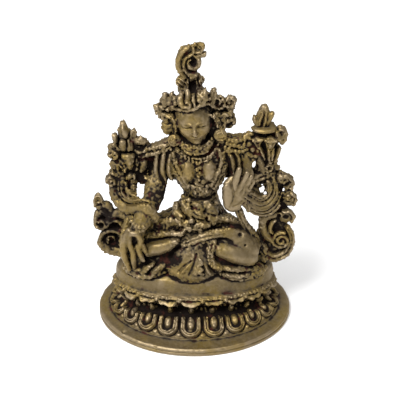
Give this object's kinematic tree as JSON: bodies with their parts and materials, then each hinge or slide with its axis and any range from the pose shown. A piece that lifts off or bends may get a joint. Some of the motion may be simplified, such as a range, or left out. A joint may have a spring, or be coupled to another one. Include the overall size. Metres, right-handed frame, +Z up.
{
  "type": "tara figure",
  "caption": "Small cast brass figure of a crowned goddess, seated with crossed legs on an oval lotus plinth, with a flower beside each shoulder and curling scarves.",
  "frame": {"origin": "centre of the oval foot, on its flat underside", "axes": "+Z up from the ground to the tip of the topknot, +X to the viewer's right, the figure faces -Y"},
  "size_m": [0.0478, 0.0396, 0.0702],
  "materials": {
    "brass": "aged cast brass, worn bright on the raised parts, brown-black patina in the hollows"
  },
  "bodies": {
    "root": {"tara_figure": "brass"}
  },
  "joints": []
}
